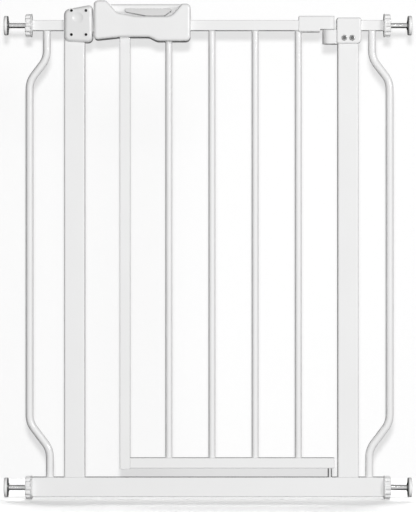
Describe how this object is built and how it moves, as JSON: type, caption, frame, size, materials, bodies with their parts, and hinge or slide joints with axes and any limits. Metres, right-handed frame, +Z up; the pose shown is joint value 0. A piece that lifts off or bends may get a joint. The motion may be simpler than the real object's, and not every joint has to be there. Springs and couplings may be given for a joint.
{
  "type": "safety baby gate",
  "caption": "Pressure-mounted walk-through safety gate: barred door on a steel frame, slide latch in a scooped handle, threaded wall pads turned by hand nuts.",
  "frame": {"origin": "on the floor line, midway between the two walls and in the gate's middle plane", "axes": "+X across the doorway towards the hinge side, +Y through the doorway away from the front, +Z up"},
  "size_m": [0.624, 0.04, 0.762],
  "materials": {
    "white_steel": "satin powder coat",
    "white_plastic": "satin moulded plastic",
    "grey_plastic": "matte moulded plastic",
    "zinc_steel": "zinc plated",
    "pad_rubber": "smooth light grey rubber"
  },
  "bodies": {
    "frame": {"bottom_rail": "white_steel", "left_post": "white_steel", "right_post": "white_steel", "left_upper_stub": "white_steel", "right_upper_stub": "white_steel", "left_side_bar": "white_steel", "right_side_bar": "white_steel", "lower_pivot_pin": "zinc_steel", "strike_housing_front": "white_plastic", "strike_housing_rear": "white_plastic", "strike_insert": "grey_plastic", "strike_screws": "zinc_steel", "hinge_bracket": "white_plastic", "hinge_bracket_bolts": "zinc_steel", "hinge_bracket_nuts": "zinc_steel", "upper_hinge_bush": "grey_plastic", "upper_left_bush": "white_plastic", "upper_right_bush": "white_plastic", "lower_left_bush": "white_plastic", "lower_right_bush": "white_plastic"},
    "door": {"door_stile": "white_steel", "door_top_rail": "white_steel", "door_bottom_rail": "white_steel", "door_bar_1": "white_steel", "door_bar_2": "white_steel", "door_bar_3": "white_steel", "door_bar_4": "white_steel", "lower_hinge_insert": "white_plastic", "door_stile_plug": "white_plastic", "hinge_cap": "white_plastic", "upper_pivot_pin": "zinc_steel", "handle_front_shell": "white_plastic", "handle_rear_shell": "white_plastic", "handle_screws": "zinc_steel"},
    "latch": {"latch_bolt": "grey_plastic", "thumb_slide": "grey_plastic"},
    "upper_left_spindle": {"upper_left_spindle": "zinc_steel", "upper_left_wall_disc": "zinc_steel", "upper_left_wall_pad": "pad_rubber"},
    "upper_left_nut": {"upper_left_hand_nut": "white_plastic"},
    "upper_right_spindle": {"upper_right_spindle": "zinc_steel", "upper_right_wall_disc": "zinc_steel", "upper_right_wall_pad": "pad_rubber"},
    "upper_right_nut": {"upper_right_hand_nut": "white_plastic"},
    "lower_left_spindle": {"lower_left_spindle": "zinc_steel", "lower_left_wall_disc": "zinc_steel", "lower_left_wall_pad": "pad_rubber"},
    "lower_left_nut": {"lower_left_hand_nut": "white_plastic"},
    "lower_right_spindle": {"lower_right_spindle": "zinc_steel", "lower_right_wall_disc": "zinc_steel", "lower_right_wall_pad": "pad_rubber"},
    "lower_right_nut": {"lower_right_hand_nut": "white_plastic"}
  },
  "joints": [
    {"name": "door_swing", "type": "hinge", "parent": "frame", "child": "door", "pos_m": [0.1864, 0, 0.4], "axis": [0, 0, 1], "range_deg": [-90, 90]},
    {"name": "latch_slide", "type": "slide", "parent": "door", "child": "latch", "axis": [-1, 0, 0], "range_m": [0, 0.012]},
    {"name": "upper_left_spindle_slide", "type": "slide", "parent": "frame", "child": "upper_left_spindle", "axis": [-1, 0, 0], "range_m": [-0.006, 0.038]},
    {"name": "upper_left_nut_turn", "type": "hinge", "parent": "frame", "child": "upper_left_nut", "pos_m": [-0.2746, 0, 0.7245], "axis": [1, 0, 0], "range_deg": [-1733, 10949]},
    {"name": "upper_right_spindle_slide", "type": "slide", "parent": "frame", "child": "upper_right_spindle", "axis": [1, 0, 0], "range_m": [-0.006, 0.038]},
    {"name": "upper_right_nut_turn", "type": "hinge", "parent": "frame", "child": "upper_right_nut", "pos_m": [0.2746, 0, 0.7245], "axis": [-1, 0, 0], "range_deg": [-1733, 10949]},
    {"name": "lower_left_spindle_slide", "type": "slide", "parent": "frame", "child": "lower_left_spindle", "axis": [-1, 0, 0], "range_m": [-0.006, 0.038]},
    {"name": "lower_left_nut_turn", "type": "hinge", "parent": "frame", "child": "lower_left_nut", "pos_m": [-0.2746, 0, 0.018], "axis": [1, 0, 0], "range_deg": [-1733, 10949]},
    {"name": "lower_right_spindle_slide", "type": "slide", "parent": "frame", "child": "lower_right_spindle", "axis": [1, 0, 0], "range_m": [-0.006, 0.038]},
    {"name": "lower_right_nut_turn", "type": "hinge", "parent": "frame", "child": "lower_right_nut", "pos_m": [0.2746, 0, 0.018], "axis": [-1, 0, 0], "range_deg": [-1733, 10949]}
  ],
  "couplings": [
    {"joint": "upper_left_nut_turn", "follows": "upper_left_spindle_slide", "rad_per_m": 5026.5},
    {"joint": "upper_right_nut_turn", "follows": "upper_right_spindle_slide", "rad_per_m": 5026.5},
    {"joint": "lower_left_nut_turn", "follows": "lower_left_spindle_slide", "rad_per_m": 5026.5},
    {"joint": "lower_right_nut_turn", "follows": "lower_right_spindle_slide", "rad_per_m": 5026.5}
  ]
}
